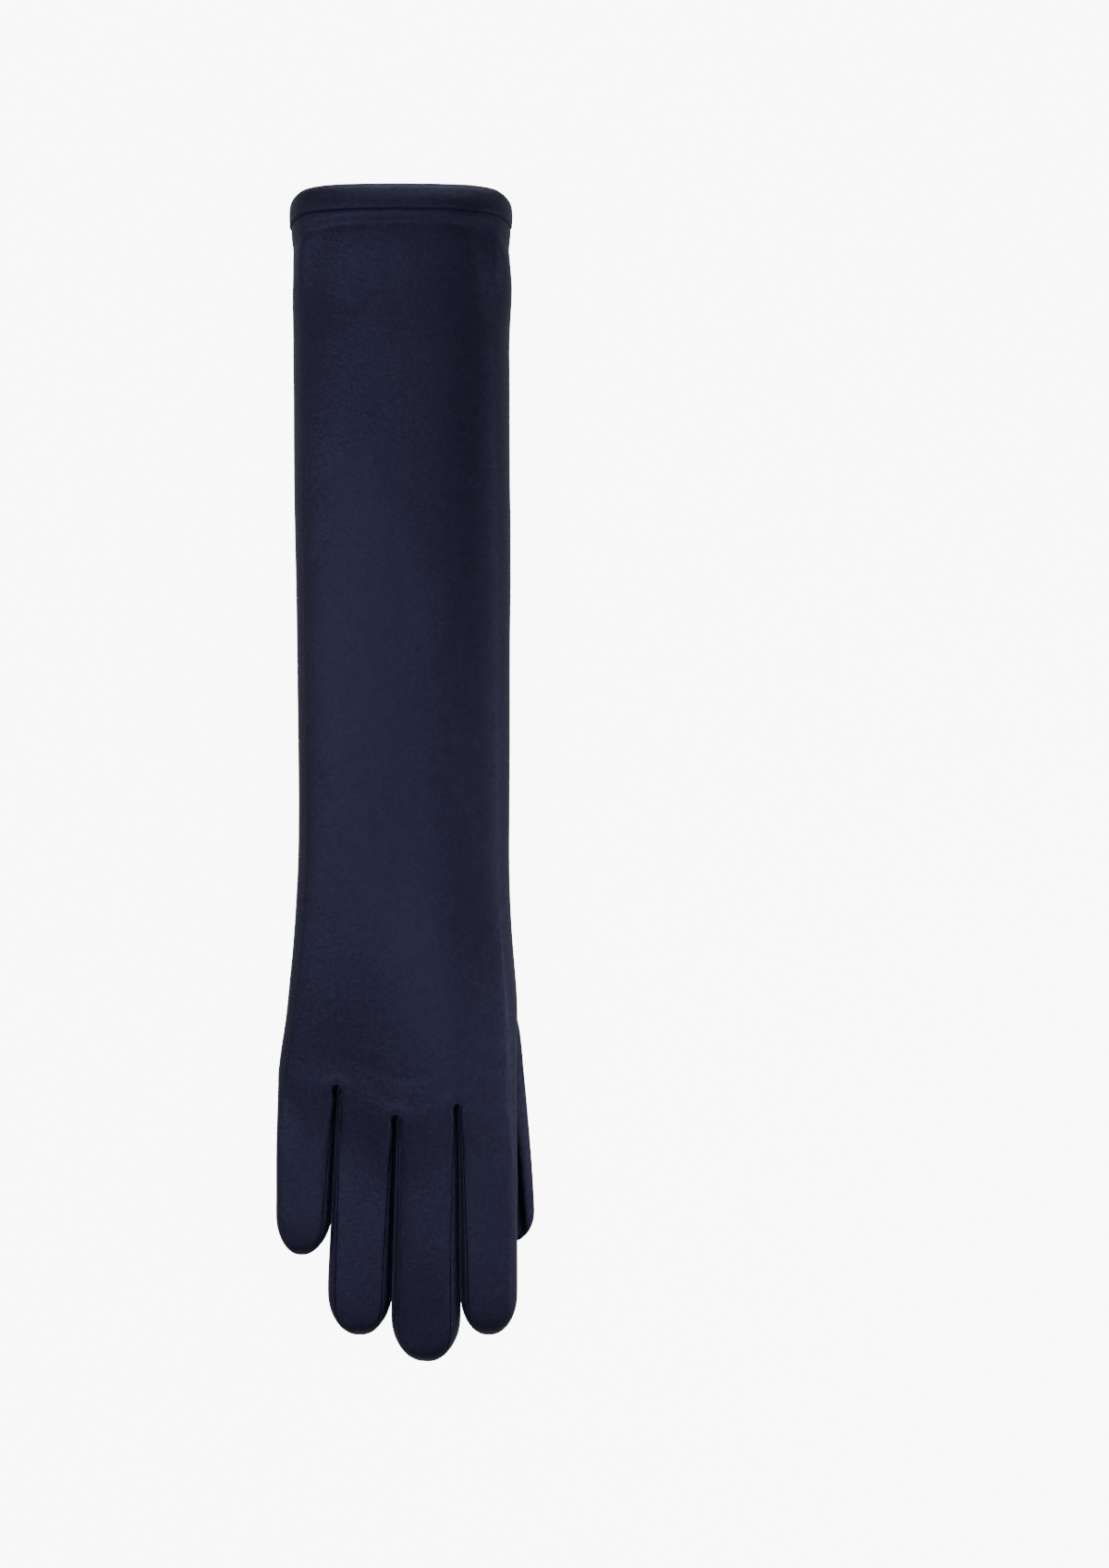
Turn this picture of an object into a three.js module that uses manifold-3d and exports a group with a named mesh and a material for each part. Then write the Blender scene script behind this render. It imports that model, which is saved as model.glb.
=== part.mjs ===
// A long right-hand dress glove, lying on its palm with the thumb under the index finger.
// It is sewn from one body cloth for sleeve, palm, back and finger faces, a forked side strip
// between each two fingers, a set-in thumb, and a hem band folded over the open end.
// Millimetres. +Z is up, the hem is towards +Y and the fingertips are towards -Y.

import * as THREE from 'three';
import { mergeVertices } from 'three/addons/utils/BufferGeometryUtils.js';
import Module from 'manifold-3d';

// Lengths, from the deepest fork between two fingers.
const SLEEVE_LENGTH = 347.5; // to the top of the hem, at the middle of the back
const FINGER_LENGTH = 94.1; // to the tip of the middle finger
const TIP_LENGTH = 16; // the rounded end of a finger
const THUMB_LENGTH = 100; // from its buried root to its tip
const THUMB_REACH = 50.9; // how far the thumb's tip lies past the deepest fork
const THUMB_TIP_LENGTH = 12;

// Widths and heights of the glove as it lies.
const HEM_WIDTH = 81.3;
const WRIST_WIDTH = 79.7;
const HAND_WIDTH = 91;
const THUMB_WIDTH = 25.5;
const SLEEVE_HEIGHT = 38;
const WRIST_HEIGHT = 29;
const HAND_HEIGHT = 20.5;
const FINGER_HEIGHT = 17.2;
const THUMB_HEIGHT = 10.6;

// Cloth, seams and spaces.
const WALL = 1.4; // the napped cloth with its backing
const SEAM_GAP = 0.3; // clear space along every seam
const FINGER_GAP = 0.4; // clear space between two fingers
const STRIP_TURN = 3; // how far a side strip wraps onto a finger's back
const STRIP_TRIM = 2 * SEAM_GAP; // taken off a strip's long edges, which are curved
const THUMB_CLEARANCE = 0.9; // between the thumb and the palm above it
const HEM_DEPTH = 10.2; // the band's outer flap
const HEM_TURN_IN = 14.5; // the band's inner flap
const HEM_WALL = 1.2;
const HEM_EASE = 1.5 * SEAM_GAP; // clear space between the sleeve and the band's flaps
const HEM_ARCH = 4.6; // how far the hem's sides stand back from its middle
const HEM_TUCK = 3.2; // how far the band's back slopes down to its fold
const SIDE_TUCK = 0.7; // how far the band's sides turn in to its fold
const TUCK_LENGTH = 9; // from the fold to where the band is as thick as the sleeve
const FLOOR_PRESS = 0.6; // how much of the roundness below is pressed flat

// How finely the nets are divided.
const FINGER_COLUMNS = 5;
const SIDE_COLUMNS = 4;
const THUMB_COLUMNS = 20;

// The sleeve's sections, from the forks up to the hem: at is a share of SLEEVE_LENGTH.
const SLEEVE = [
  { at: 0.0, width: HAND_WIDTH, shift: -2.85, height: HAND_HEIGHT },
  { at: 0.06, width: 0.98 * HAND_WIDTH, shift: -1.9, height: 1.08 * HAND_HEIGHT },
  { at: 0.12, width: 0.957 * HAND_WIDTH, shift: -0.95, height: 1.18 * HAND_HEIGHT },
  { at: 0.18, width: 1.047 * WRIST_WIDTH, shift: -0.65, height: 0.91 * WRIST_HEIGHT },
  { at: 0.24, width: 1.014 * WRIST_WIDTH, shift: -0.4, height: 0.96 * WRIST_HEIGHT },
  { at: 0.3, width: WRIST_WIDTH, shift: -0.2, height: WRIST_HEIGHT },
  { at: 0.45, width: 0.99 * HEM_WIDTH, shift: -0.3, height: 0.84 * SLEEVE_HEIGHT },
  { at: 0.6, width: 0.995 * HEM_WIDTH, shift: -0.45, height: 0.91 * SLEEVE_HEIGHT },
  { at: 0.75, width: HEM_WIDTH, shift: -0.9, height: 0.96 * SLEEVE_HEIGHT },
  { at: 0.9, width: 1.002 * HEM_WIDTH, shift: -1.1, height: SLEEVE_HEIGHT },
  { at: 1.0, width: HEM_WIDTH, shift: -1.15, height: SLEEVE_HEIGHT },
];

// The edges of the four fingers, left to right. root and tip are shares of HAND_WIDTH from the
// hand's middle, and fork is the share of FINGER_LENGTH that an edge starts above the deepest fork.
const EDGES = [
  { root: -0.503, tip: -0.513, fork: 0.145 },
  { root: -0.247, tip: -0.293, fork: 0.114 },
  { root: 0.003, tip: -0.025, fork: 0.0 },
  { root: 0.259, tip: 0.264, fork: 0.05 },
  { root: 0.502, tip: 0.504, fork: 0.05 },
];

// The fingers. reach is the share of FINGER_LENGTH, and height the share of FINGER_HEIGHT.
const FINGERS = [
  { name: 'little', reach: 0.588, height: 0.92 },
  { name: 'ring', reach: 0.904, height: 0.98 },
  { name: 'middle', reach: 1.0, height: 1.03 },
  { name: 'index', reach: 0.892, height: 1.0 },
];

// The thumb's sections from its root: at is a share of THUMB_LENGTH less its tip, right is the
// place of its outer side and base its lowest level, as shares of HAND_WIDTH and THUMB_HEIGHT.
const THUMB = [
  { at: 0.0, right: 0.438, width: 1.2, height: 0.94, base: 0.36 },
  { at: 0.17, right: 0.503, width: 1.2, height: 1.0, base: 0.0 },
  { at: 0.4, right: 0.529, width: 1.08, height: 1.0, base: 0.0 },
  { at: 0.63, right: 0.549, width: 0.98, height: 1.0, base: 0.0 },
  { at: 0.86, right: 0.566, width: 0.91, height: 0.97, base: 0.0 },
  { at: 1.0, right: 0.573, width: 0.84, height: 0.93, base: 0.0 },
];

// Rows of the nets: shares of the way along, and angles round a tip in degrees.
const SLEEVE_ROWS = [0.958, 0.93, 0.86, 0.7, 0.5, 0.36, 0.27, 0.2, 0.14, 0.1, 0.06, 0.03, 0];
const FINGER_ROWS = [0.025, 0.06, 0.13, 0.3, 0.6, 1];
const TIP_ROWS = [27, 48, 65, 79];
const STRIP_END = 3; // how many of the tip's rows a side strip reaches
const THUMB_ROWS = [0, 0.12, 0.22, 0.32, 0.42, 0.56, 0.78, 1];

// Roundness of the sections: 2 is an ellipse, and more is squarer.
const BACK_ROUNDNESS = 2.5;
const FINGER_ROUNDNESS = 3.3;
const PALM_ROUNDNESS = 3.2;
const FORK_ROUNDNESS = 4.2;
const LOW_SHARE = 0.42; // of a section's height lies below its widest line
const CORNER_INSET = 4; // from the glove's side to its first column
const FORK_SPREAD = 3.2; // length over which two fingers part at a fork
const BACK_SPREAD = 34; // length over which the hand's back turns into round fingers
const EDGE_RUN = 0.8; // share of FINGER_LENGTH over which an edge goes from its root to its tip

const { lerp: mix, smoothstep: ease, clamp } = THREE.MathUtils;
const wasm = await Module();
wasm.setup();

// A column of a table at a place between its rows, on a smooth curve through them.
function read(table, at, column) {
  const place = clamp(at, table[0].at, table[table.length - 1].at);
  const k = clamp(table.findIndex((row) => row.at >= place), 1, table.length - 1);
  const slope = (i) => {
    const a = table[Math.max(i - 1, 0)];
    const b = table[Math.min(i + 1, table.length - 1)];
    return (b[column] - a[column]) / (b.at - a.at);
  };
  const [a, b] = [table[k - 1], table[k]];
  const span = b.at - a.at;
  const t = (place - a.at) / span;
  const hermite = (2 * t ** 3 - 3 * t ** 2 + 1) * a[column] + (3 * t ** 2 - 2 * t ** 3) * b[column];
  return hermite + span * ((t ** 3 - 2 * t ** 2 + t) * slope(k - 1) + (t ** 3 - t ** 2) * slope(k));
}

// How much the hand is lifted on the index side, where it lies over the thumb. The palm steps up
// at the thumb's root, and the back follows in a long slope.
function lean(x, y, z) {
  const across = ease(x, -0.27 * HAND_WIDTH, 0.25 * HAND_WIDTH);
  const past = THUMB_REACH + 3;
  const palm = 1 - ease(y, 0.12 * THUMB_LENGTH, 0.54 * THUMB_LENGTH);
  const back = 1 - ease(y, -0.1 * THUMB_LENGTH, 1.15 * THUMB_LENGTH);
  const along = mix(palm, back, ease(z, 0.1 * HAND_HEIGHT, HAND_HEIGHT));
  const droop = 1 - 0.35 * ease(-y, past, past + 40);
  return (THUMB_HEIGHT + THUMB_CLEARANCE) * across * along * droop;
}

// A section is a rounded outline, flat below. Places on it are the back or the palm at a share u
// from its middle, or a side at a share from the back's corner down to the palm's corner.
function onSection(section, place) {
  const { middle, level, half, rise, drop, roundness, inset, wall } = section;
  const up = (u) => level + rise * Math.max(1 - Math.abs(u) ** roundness, 0) ** (1 / roundness);
  const down = (u) => {
    const round = Math.max(1 - Math.abs(u) ** PALM_ROUNDNESS, 0) ** (1 / PALM_ROUNDNESS);
    return Math.max(level - (drop + section.press) * round, level - drop);
  };
  if (place.part !== 'side') {
    const reach = place.u * (half + wall - inset) - wall * place.u ** 5;
    return [middle + reach, place.part === 'back' ? up(reach / half) : down(reach / half)];
  }
  const inner = Math.min(1 - (inset - (place.trim ?? 0)) / half, 0.995);
  const from = Math.acos(inner ** (roundness / 2));
  const to = Math.acos(inner ** (PALM_ROUNDNESS / 2));
  const angle = mix(from, -to, place.share);
  const u = Math.abs(Math.cos(angle)) ** (2 / (angle > 0 ? roundness : PALM_ROUNDNESS));
  return [middle + place.side * half * u, angle > 0 ? up(u) : down(u)];
}

function sleeveSection(at, depth) {
  const height = read(SLEEVE, at, 'height');
  const level = LOW_SHARE * height;
  return {
    middle: read(SLEEVE, at, 'shift'),
    level,
    half: read(SLEEVE, at, 'width') / 2 - depth,
    rise: height - level - depth,
    drop: level - depth,
    press: FLOOR_PRESS,
    roundness: BACK_ROUNDNESS,
    inset: CORNER_INSET,
    wall: depth,
  };
}

// The place of an edge of a finger at a length y from the deepest fork.
function edgeAt(k, y) {
  const edge = EDGES[k];
  const gone = clamp((edge.fork * FINGER_LENGTH - y) / (EDGE_RUN * FINGER_LENGTH), 0, 1);
  return SLEEVE[0].shift + HAND_WIDTH * mix(edge.root, edge.tip, gone);
}

// A finger's section at y. round is the angle reached round its tip, in radians.
function fingerSection(j, y, round, depth) {
  const left = edgeAt(j, y) + (j > 0 ? FINGER_GAP / 2 : 0);
  const right = edgeAt(j + 1, y) - (j < 3 ? FINGER_GAP / 2 : 0);
  const height = FINGERS[j].height * FINGER_HEIGHT;
  const level = LOW_SHARE * height;
  const shrink = Math.cos(round);
  const rooted = ease(-y, -0.1 * FINGER_LENGTH, 0.3 * FINGER_LENGTH);
  const grown = ease(-y, -0.1 * FINGER_LENGTH, 0.75 * FINGER_LENGTH);
  const turn = mix(1.4, STRIP_TURN, grown) * mix(1, 0.45, round / (Math.PI / 2));
  return {
    middle: (left + right) / 2,
    level,
    half: ((right - left) / 2 - depth) * shrink,
    rise: (height - level - depth) * shrink,
    drop: (level - depth) * shrink,
    press: FLOOR_PRESS * shrink,
    roundness: mix(FORK_ROUNDNESS, FINGER_ROUNDNESS, rooted),
    inset: turn * shrink,
    wall: depth * shrink,
  };
}

// A share across the whole hand as a share of the way to its first and last columns.
function columnShare(u) {
  return clamp(u / (1 - CORNER_INSET / (HAND_WIDTH / 2)), -1, 1);
}

// The column c of finger j, as a share across the back or palm on the sleeve's rows.
function acrossHand(j, c) {
  return columnShare(2 * mix(EDGES[j].root, EDGES[j + 1].root, c / FINGER_COLUMNS));
}

// A point of the sleeve and palm. place.u is the share across, and depth is measured into the cloth.
function sleevePoint(at, place, depth) {
  const section = sleeveSection(at, depth);
  const [x, z] = onSection(section, place);
  const u = clamp((x - section.middle) / section.half, -1, 1);
  const curve = EDGES.map((edge) => ({ at: 2 * edge.root, rise: edge.fork * FINGER_LENGTH }));
  const forks = (read(curve, u, 'rise') + 1.5 * depth) * (1 - ease(at, 0, 0.12));
  const high = z > section.level ? (z - section.level) / section.rise : (section.level - z) / section.drop;
  const arch = HEM_ARCH * (1 - clamp(high, 0, 1) ** 2) ** 4 * ease(at, 0.8, 0.95);
  const lift = (HEM_EASE + HEM_WALL) * ease(at, 0.87, 1 - HEM_DEPTH / SLEEVE_LENGTH);
  const tuck = clamp(1 - ((1 - at) * SLEEVE_LENGTH) / TUCK_LENGTH, 0, 1) ** 2;
  const lowered = z > section.level ? HEM_TUCK * tuck * high : 0;
  return [x - SIDE_TUCK * tuck * u ** 3, at * SLEEVE_LENGTH + forks - arch, z + lift - lowered];
}

// The corner of the fork between fingers k - 1 and k, at a share down from the back to the palm.
function forkPoint(k, share, depth, trim = 0) {
  const u = columnShare(2 * EDGES[k].root);
  const top = sleevePoint(0, { part: 'back', u }, depth);
  const low = sleevePoint(0, { part: 'palm', u }, depth);
  const z = mix(top[2] - 1.5 * trim, low[2] + 1.5 * trim, share);
  return [edgeAt(k, top[1]), top[1] - trim, z];
}

// A finger's point: it starts on the hand's last row, and turns into the finger's own section.
function fingerPoint(j, row, place, depth) {
  let root;
  let spread = BACK_SPREAD;
  const forked = (side) => (side < 0 ? j > 0 : j < 3);
  if (place.part === 'side' && forked(place.side)) {
    root = forkPoint(place.side < 0 ? j : j + 1, place.share, depth, place.trim);
    spread = FORK_SPREAD;
  } else if (place.part === 'side') {
    root = sleevePoint(0, place, depth);
  } else {
    const u = acrossHand(j, ((place.u + 1) / 2) * FINGER_COLUMNS);
    root = sleevePoint(0, { part: place.part, u }, depth);
    if (forked(Math.sign(place.u))) spread = mix(BACK_SPREAD, FORK_SPREAD, place.u ** 8);
  }
  const tip = -FINGERS[j].reach * FINGER_LENGTH;
  const capStart = tip + TIP_LENGTH;
  const round = THREE.MathUtils.degToRad(row.round ?? 0);
  const along = row.round === undefined ? mix(root[1], capStart, row.share) : capStart;
  const y = along - (TIP_LENGTH - depth) * Math.sin(round);
  const [x, z] = onSection(fingerSection(j, y, round, depth), place);
  const own = ease(root[1] - y, 0, spread);
  return [mix(root[0], x, own), y, mix(root[2], z, own)];
}

function fingertip(j, depth) {
  const tip = -FINGERS[j].reach * FINGER_LENGTH + depth;
  const section = fingerSection(j, tip, 0, depth);
  return [section.middle, tip, section.level];
}

function leaned([x, y, z]) {
  return [x, y, z + lean(x, y, z)];
}

// A net is a list of points, each a function of depth, and a list of faces of three or four points.
class Net {
  points = [];
  faces = [];
  names = new Map();

  point(name, place) {
    if (!this.names.has(name)) {
      this.names.set(name, this.points.length);
      this.points.push(place);
    }
    return this.names.get(name);
  }

  face(...corners) {
    const kept = corners.filter((corner, i) => corner !== corners[(i + 1) % corners.length]);
    if (kept.length > 2) this.faces.push(kept);
  }

  // Joins two rows of points by faces, in order, and back to the start if the rows are loops.
  strip(upper, lower, loop = true) {
    for (let i = 0; i + (loop ? 0 : 1) < upper.length; i += 1) {
      const next = (i + 1) % upper.length;
      this.face(upper[i], lower[i], lower[next], upper[next]);
    }
  }
}

function solidOf(points, triangles) {
  const geometry = new THREE.BufferGeometry();
  geometry.setAttribute('position', new THREE.Float32BufferAttribute(points.flat(), 3));
  geometry.setIndex(triangles.flat());
  const merged = mergeVertices(geometry);
  const vertProperties = new Float32Array(merged.attributes.position.array);
  const triVerts = new Uint32Array(merged.index.array);
  return new wasm.Manifold(new wasm.Mesh({ numProp: 3, vertProperties, triVerts }));
}

function triangulated(faces) {
  return faces.flatMap((f) => (f.length === 3 ? [f] : [[f[0], f[1], f[2]], [f[0], f[2], f[3]]]));
}

// The solid cloth of a net: its skin, the same skin one wall further in, and the rim between them.
// Rims that face each other across a seam are split along the same diagonals.
function cloth(net, wall) {
  const count = net.points.length;
  const points = [0, wall].flatMap((depth) => net.points.map((place) => place(depth)));
  const outer = triangulated(net.faces);
  const inner = outer.map((t) => t.map((i) => i + count).reverse());
  const sides = new Map();
  for (const face of net.faces) {
    face.forEach((a, i) => sides.set(`${a},${face[(i + 1) % face.length]}`, [a, face[(i + 1) % face.length]]));
  }
  const open = [...sides.values()].filter(([a, b]) => !sides.has(`${b},${a}`));
  const rim = open.flatMap(([a, b]) => {
    const hemward = points[a][1] > points[b][1];
    if (hemward) return [[b, a, a + count], [b, a + count, b + count]];
    return [[b, a, b + count], [a, a + count, b + count]];
  });
  return solidOf(points, [...outer, ...inner, ...rim]);
}

// The full form inside a net's skin at a depth, with its one open loop closed by a flat fan.
function filled(net, depth, openLoop) {
  const points = net.points.map((place) => place(depth));
  const sum = openLoop.reduce((s, i) => s.map((v, axis) => v + points[i][axis]), [0, 0, 0]);
  points.push(sum.map((v) => v / openLoop.length));
  const lid = openLoop.map((a, i) => [a, openLoop[(i + 1) % openLoop.length], points.length - 1]);
  return solidOf(points, [...triangulated(net.faces), ...lid]);
}

// The places round a section: its back, its right side, its palm and its left side.
function placesRound(columns, uOf) {
  const back = Array.from({ length: columns + 1 }, (_, c) => ({ part: 'back', c, u: uOf(c) }));
  const palm = back.map((place) => ({ ...place, part: 'palm' })).reverse();
  const shares = Array.from({ length: SIDE_COLUMNS - 1 }, (_, s) => (s + 1) / SIDE_COLUMNS);
  const right = shares.map((share, s) => ({ part: 'side', side: 1, share, s: s + 1 }));
  const left = right.map((place) => ({ ...place, side: -1 })).reverse();
  return [...back, ...right, ...palm, ...left];
}

// The sleeve and the hem band are divided alike, so that their faces stay parallel.
function sleevePlaces() {
  return placesRound(4 * FINGER_COLUMNS, (c) => {
    const j = Math.min(Math.floor(c / FINGER_COLUMNS), 3);
    return acrossHand(j, c - j * FINGER_COLUMNS);
  });
}

// The body cloth's net. With strips true it also closes the fingers' sides, for the filled form.
function bodyNet(topShare, strips) {
  const net = new Net();
  const last = SLEEVE_ROWS.length;
  const places = sleevePlaces();
  const sleeveName = (r, place) => `sleeve ${r} ${place.part} ${place.c ?? place.side * place.s}`;
  const rows = [topShare, ...SLEEVE_ROWS].map((at, r) => places.map((place) => {
    const k = (place.c ?? 1) / FINGER_COLUMNS;
    const fork = at === 0 && [1, 2, 3].includes(k);
    return net.point(sleeveName(r, place), (depth) =>
      leaned(fork ? forkPoint(k, place.part === 'back' ? 0 : 1, depth) : sleevePoint(at, place, depth)));
  }));
  rows.slice(1).forEach((row, r) => net.strip(rows[r], row));

  FINGERS.forEach((finger, j) => {
    const round = placesRound(FINGER_COLUMNS, (c) => (2 * c) / FINGER_COLUMNS - 1);
    const forked = (place) => place.part === 'side' && (place.side < 0 ? j > 0 : j < 3);
    const first = round.map((place) => {
      if (forked(place)) {
        const k = place.side < 0 ? j : j + 1;
        return net.point(`fork ${k} ${place.s}`, (depth) => leaned(forkPoint(k, place.share, depth)));
      }
      const c = place.part === 'side' ? undefined : j * FINGER_COLUMNS + place.c;
      return net.point(sleeveName(last, { ...place, c }));
    });
    const steps = [...FINGER_ROWS.map((share) => ({ share })), ...TIP_ROWS.map((angle) => ({ round: angle }))];
    const loops = steps.map((row, r) => round.map((place) =>
      net.point(`${finger.name} ${r} ${place.part} ${place.c ?? place.side * place.s}`,
        (depth) => leaned(fingerPoint(j, row, place, depth)))));
    const stripRows = FINGER_ROWS.length + STRIP_END;
    [first, ...loops].slice(0, -1).forEach((upper, r) => {
      const lower = loops[r];
      upper.forEach((_, i) => {
        const next = (i + 1) % round.length;
        const open = [round[i], round[next]].some(forked) && r < stripRows && !strips;
        if (!open) net.face(upper[i], lower[i], lower[next], upper[next]);
      });
    });
    const tip = net.point(`${finger.name} tip`, (depth) => leaned(fingertip(j, depth)));
    const end = loops[loops.length - 1];
    net.strip(end, end.map(() => tip));
  });
  return { net, openLoop: rows[0] };
}

// The strip between fingers k - 1 and k runs down one side, round the fork and up the other.
function stripNet(k) {
  const net = new Net();
  const shares = Array.from({ length: SIDE_COLUMNS + 1 }, (_, s) => s / SIDE_COLUMNS);
  const steps = [
    ...FINGER_ROWS.map((share) => ({ share })),
    ...TIP_ROWS.slice(0, STRIP_END).map((angle) => ({ round: angle })),
  ];
  const backOff = THREE.MathUtils.radToDeg(SEAM_GAP / TIP_LENGTH);
  steps[steps.length - 1] = { round: TIP_ROWS[STRIP_END - 1] - 2 * backOff };
  const leg = (j, side) => steps.map((row, r) => shares.map((share) =>
    net.point(`${j} ${r} ${share}`, (depth) =>
      leaned(fingerPoint(j, row, { part: 'side', side, share, trim: STRIP_TRIM }, depth)))));
  const fork = shares.map((share) =>
    net.point(`fork ${share}`, (depth) => leaned(forkPoint(k, share, depth, STRIP_TRIM))));
  const rows = [...leg(k - 1, 1).reverse(), fork, ...leg(k, -1)];
  rows.slice(1).forEach((row, r) => net.strip(row, rows[r], false));
  return net;
}

// The thumb lies flat under the index finger. Its root is inside the palm.
function thumbPoint(row, angle, depth) {
  const end = -THUMB_REACH + THUMB_TIP_LENGTH;
  const round = THREE.MathUtils.degToRad(row.round ?? 0);
  const at = row.share ?? 1;
  const y = mix(THUMB_LENGTH - THUMB_REACH, end, at) - (THUMB_TIP_LENGTH - depth) * Math.sin(round);
  const width = read(THUMB, at, 'width') * THUMB_WIDTH;
  const height = read(THUMB, at, 'height') * THUMB_HEIGHT;
  const base = Math.max(read(THUMB, at, 'base'), 0) * THUMB_HEIGHT;
  const shrink = Math.max(Math.cos(round), 0) ** 0.8;
  const middle = read(THUMB, at, 'right') * HAND_WIDTH - width / 2 + SLEEVE[0].shift;
  const [c, s] = [Math.cos(angle), Math.sin(angle)];
  const across = Math.sign(c) * Math.abs(c) ** (2 / BACK_ROUNDNESS) * (width / 2 - depth) * shrink;
  const up = Math.sign(s) * Math.abs(s) ** (2 / BACK_ROUNDNESS) * (height / 2 - depth) * shrink;
  return [middle + across, y, base + height / 2 + up];
}

function thumbNet() {
  const net = new Net();
  const angles = Array.from({ length: THUMB_COLUMNS }, (_, i) => (-2 * Math.PI * i) / THUMB_COLUMNS);
  const steps = [...THUMB_ROWS.map((share) => ({ share })), ...TIP_ROWS.map((angle) => ({ round: angle }))];
  const rows = steps.map((row, r) => angles.map((angle, i) =>
    net.point(`${r} ${i}`, (depth) => thumbPoint(row, angle, depth))));
  rows.slice(1).forEach((row, r) => net.strip(rows[r], row));
  const tip = net.point('tip', (depth) => thumbPoint({ round: 90 }, 0, depth));
  const end = rows[rows.length - 1];
  net.strip(end, end.map(() => tip));
  return { net, openLoop: rows[0] };
}

// The hem band is a closed ring whose section is a long hairpin over the sleeve's edge.
// Its profile gives how far in from the sleeve's face and how far down from the top each corner is.
function hemSolid(topShare) {
  const outside = -(HEM_EASE + HEM_WALL);
  const inside = WALL + HEM_EASE + HEM_WALL;
  const fold = (outside + inside) / 2;
  const radius = (inside - outside) / 2;
  const profile = [
    { depth: -HEM_EASE, down: HEM_DEPTH },
    { depth: outside + 0.3, down: HEM_DEPTH },
    { depth: outside, down: HEM_DEPTH - 0.7 },
    ...[0, 45, 90, 135, 180].map((degrees) => {
      const turn = THREE.MathUtils.degToRad(degrees);
      return { depth: fold - radius * Math.cos(turn), down: radius * (1 - Math.sin(turn)) };
    }),
    { depth: inside, down: HEM_TURN_IN },
    { depth: inside - HEM_WALL, down: HEM_TURN_IN },
    { depth: inside - HEM_WALL, down: radius },
    { depth: -HEM_EASE, down: radius },
  ];
  const places = sleevePlaces();
  const points = places.flatMap((place) => profile.map(({ depth, down }) =>
    sleevePoint(topShare - down / SLEEVE_LENGTH, place, depth)));
  const count = profile.length;
  const triangles = [];
  places.forEach((_, i) => profile.forEach((__, p) => {
    const [a, b] = [i * count + p, i * count + ((p + 1) % count)];
    const [c, d] = [((i + 1) % places.length) * count + p, ((i + 1) % places.length) * count + ((p + 1) % count)];
    triangles.push([a, d, b], [a, c, d]);
  }));
  return { solid: solidOf(points, triangles), sleeveTop: radius + HEM_EASE };
}

function meshOf(name, solid, material) {
  const { vertProperties, triVerts } = solid.getMesh();
  const geometry = new THREE.BufferGeometry();
  geometry.setAttribute('position', new THREE.BufferAttribute(vertProperties, 3));
  geometry.setIndex(new THREE.BufferAttribute(triVerts, 1));
  const mesh = new THREE.Mesh(geometry, material);
  mesh.name = name;
  return mesh;
}

const navyNap = new THREE.MeshStandardMaterial({ color: 0x232639, roughness: 0.92, metalness: 0 });
const navyStrip = new THREE.MeshStandardMaterial({ color: 0x1f2233, roughness: 0.94, metalness: 0 });

const hem = hemSolid(1);
const bodyTop = 1 - hem.sleeveTop / SLEEVE_LENGTH;
const body = bodyNet(bodyTop, false);
const thumb = thumbNet();
const handForm = bodyNet(bodyTop, true);
const thumbHollow = filled(thumb.net, WALL, thumb.openLoop);
const handWithSeam = filled(handForm.net, -SEAM_GAP, handForm.openLoop);

const glove = new THREE.Group();
glove.add(meshOf('body_cloth', cloth(body.net, WALL).subtract(thumbHollow), navyNap));
glove.add(meshOf('thumb', cloth(thumb.net, WALL).subtract(handWithSeam), navyNap));
glove.add(meshOf('hem_band', hem.solid, navyNap));
for (const k of [1, 2, 3]) {
  const name = `side_strip_${FINGERS[k - 1].name}_${FINGERS[k].name}`;
  glove.add(meshOf(name, cloth(stripNet(k), WALL), navyStrip));
}

// The glove is centred on its own footprint.
const box = new THREE.Box3().setFromObject(glove);
const centre = box.getCenter(new THREE.Vector3());
glove.children.forEach((mesh) => mesh.geometry.translate(-centre.x, -centre.y, -box.min.z));

export default glove;
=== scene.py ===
# A long right-hand dress glove in navy napped fabric, lying on its palm on a pale floor.
# It is sewn from a body cloth, a side strip between each two fingers, a set-in thumb and a hem
# band. Lengths in the pattern are millimetres from the deepest fork between two fingers, with
# the hem towards +Y, and each finished piece is brought to metres in the frame's place.

import math

import bmesh
import bpy
from mathutils import Matrix, Vector, noise


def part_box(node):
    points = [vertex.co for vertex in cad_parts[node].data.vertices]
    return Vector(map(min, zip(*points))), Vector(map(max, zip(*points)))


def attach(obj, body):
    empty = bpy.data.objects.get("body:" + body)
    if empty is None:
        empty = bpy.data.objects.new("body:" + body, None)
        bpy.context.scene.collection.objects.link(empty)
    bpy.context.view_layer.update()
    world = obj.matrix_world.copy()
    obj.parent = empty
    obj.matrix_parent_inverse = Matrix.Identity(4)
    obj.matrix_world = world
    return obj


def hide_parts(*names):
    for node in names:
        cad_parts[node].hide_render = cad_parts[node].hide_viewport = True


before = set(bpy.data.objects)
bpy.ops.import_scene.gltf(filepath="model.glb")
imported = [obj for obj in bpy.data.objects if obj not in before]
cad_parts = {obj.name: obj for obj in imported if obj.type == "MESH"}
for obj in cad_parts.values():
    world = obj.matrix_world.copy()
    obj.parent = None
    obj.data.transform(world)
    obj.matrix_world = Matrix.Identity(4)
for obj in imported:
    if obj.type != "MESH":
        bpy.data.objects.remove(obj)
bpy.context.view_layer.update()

MM = 0.001

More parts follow.
